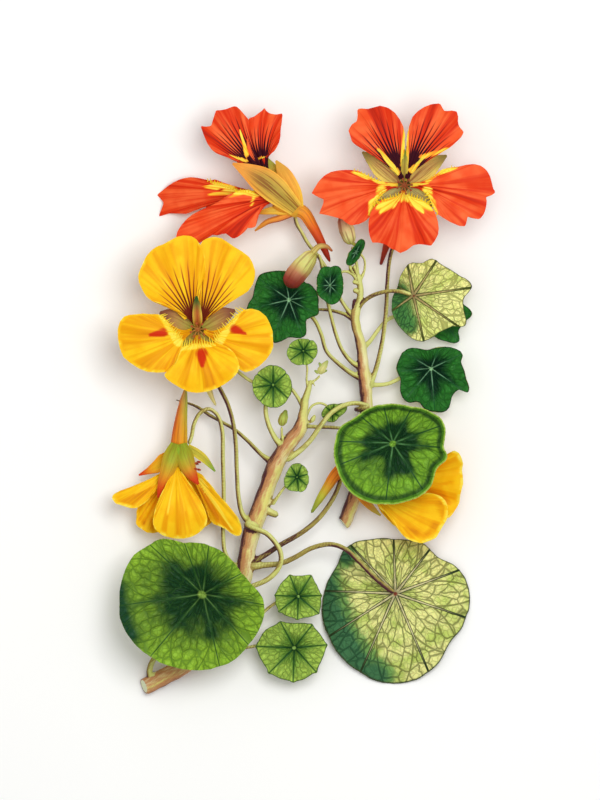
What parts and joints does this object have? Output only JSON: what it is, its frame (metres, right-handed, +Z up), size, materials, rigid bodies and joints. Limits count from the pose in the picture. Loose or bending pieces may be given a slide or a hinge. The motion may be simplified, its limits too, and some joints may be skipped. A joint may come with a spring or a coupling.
{
  "type": "nasturtium plant",
  "caption": "Cut flowering nasturtium with round shield leaves, spurred yellow and orange-red flowers, buds and twining leaf stalks, lying flat on a table.",
  "frame": {"origin": "middle of the plant's outline, on the table that it lies on", "axes": "+X right across the plant, +Y from the cut ends to the flowering tips, +Z up from the table"},
  "size_m": [0.1349, 0.2081, 0.0284],
  "materials": {
    "stem": "satin, juicy skin, yellow-green with purple-brown shading along one side",
    "leaf": "matt waxy upper side, mid green margin, dark blue-green middle, thin pale veins",
    "dark_leaf": "matt waxy upper side, dark green with short pale veins",
    "pale_leaf": "matt underside, pale yellow-green with a raised net of olive veins",
    "yellow_petal": "velvety amber yellow with fine lengthwise folds",
    "red_petal": "velvety orange-red, deeper lengthwise streaks, maroon guide lines on the upper petals",
    "calyx": "satin, yellow-green shading to orange at the sepal tips and spur",
    "stamen": "matt red-brown threads with yellow-brown heads",
    "bud": "satin, pale green with red-brown seams"
  },
  "bodies": {
    "root": {"yellow_shoot_stem": "stem", "red_shoot_stem": "stem", "leaf_g_large": "leaf", "leaf_h_from_behind": "pale_leaf", "leaf_i_cupped": "leaf", "leaf_a_dark": "dark_leaf", "leaf_d_from_behind": "pale_leaf", "leaf_e_dark": "dark_leaf", "leaf_f_dark": "dark_leaf", "leaf_b_small": "dark_leaf", "leaf_j_small": "leaf", "leaf_k_small": "leaf", "leaf_l_small": "leaf", "leaf_m_folded": "leaf", "leaf_n_small": "leaf", "leaf_o_small": "leaf", "leaf_c_folded": "dark_leaf", "yellow_front_flower_calyx_and_spur": "calyx", "yellow_front_flower_stamens": "stamen", "yellow_front_flower_petal_upper_left": "yellow_petal", "yellow_front_flower_petal_upper_right": "yellow_petal", "yellow_front_flower_petal_left": "yellow_petal", "yellow_front_flower_petal_right": "yellow_petal", "yellow_front_flower_petal_lower": "yellow_petal", "yellow_hanging_flower_calyx_and_spur": "calyx", "yellow_hanging_flower_stamens": "stamen", "yellow_hanging_flower_petal_front": "yellow_petal", "yellow_hanging_flower_petal_upper_left": "yellow_petal", "yellow_hanging_flower_petal_lower_left": "yellow_petal", "yellow_hanging_flower_petal_right": "yellow_petal", "yellow_hanging_flower_petal_behind": "yellow_petal", "yellow_side_flower_calyx_and_spur": "calyx", "yellow_side_flower_stamens": "stamen", "yellow_side_flower_petal_spoon": "yellow_petal", "yellow_side_flower_petal_ruffled": "yellow_petal", "yellow_side_flower_petal_upper": "yellow_petal", "yellow_side_flower_petal_top": "yellow_petal", "yellow_side_flower_petal_lower": "yellow_petal", "red_front_flower_calyx_and_spur": "calyx", "red_front_flower_stamens": "stamen", "red_front_flower_petal_upper_left": "red_petal", "red_front_flower_petal_upper_right": "red_petal", "red_front_flower_petal_left": "red_petal", "red_front_flower_petal_right": "red_petal", "red_front_flower_petal_lower": "red_petal", "red_hanging_flower_calyx_and_spur": "calyx", "red_hanging_flower_stamens": "stamen", "red_hanging_flower_petal_upper_left": "red_petal", "red_hanging_flower_petal_upper_right": "red_petal", "red_hanging_flower_petal_far_left": "red_petal", "red_hanging_flower_petal_lower": "red_petal", "red_hanging_flower_petal_behind": "red_petal", "red_leaning_bud": "bud", "red_upright_bud": "bud", "yellow_small_bud": "bud", "yellow_bud_behind_petal": "bud", "yellow_bud_behind_leaf": "bud", "yellow_tip_leaves": "bud"}
  },
  "joints": []
}
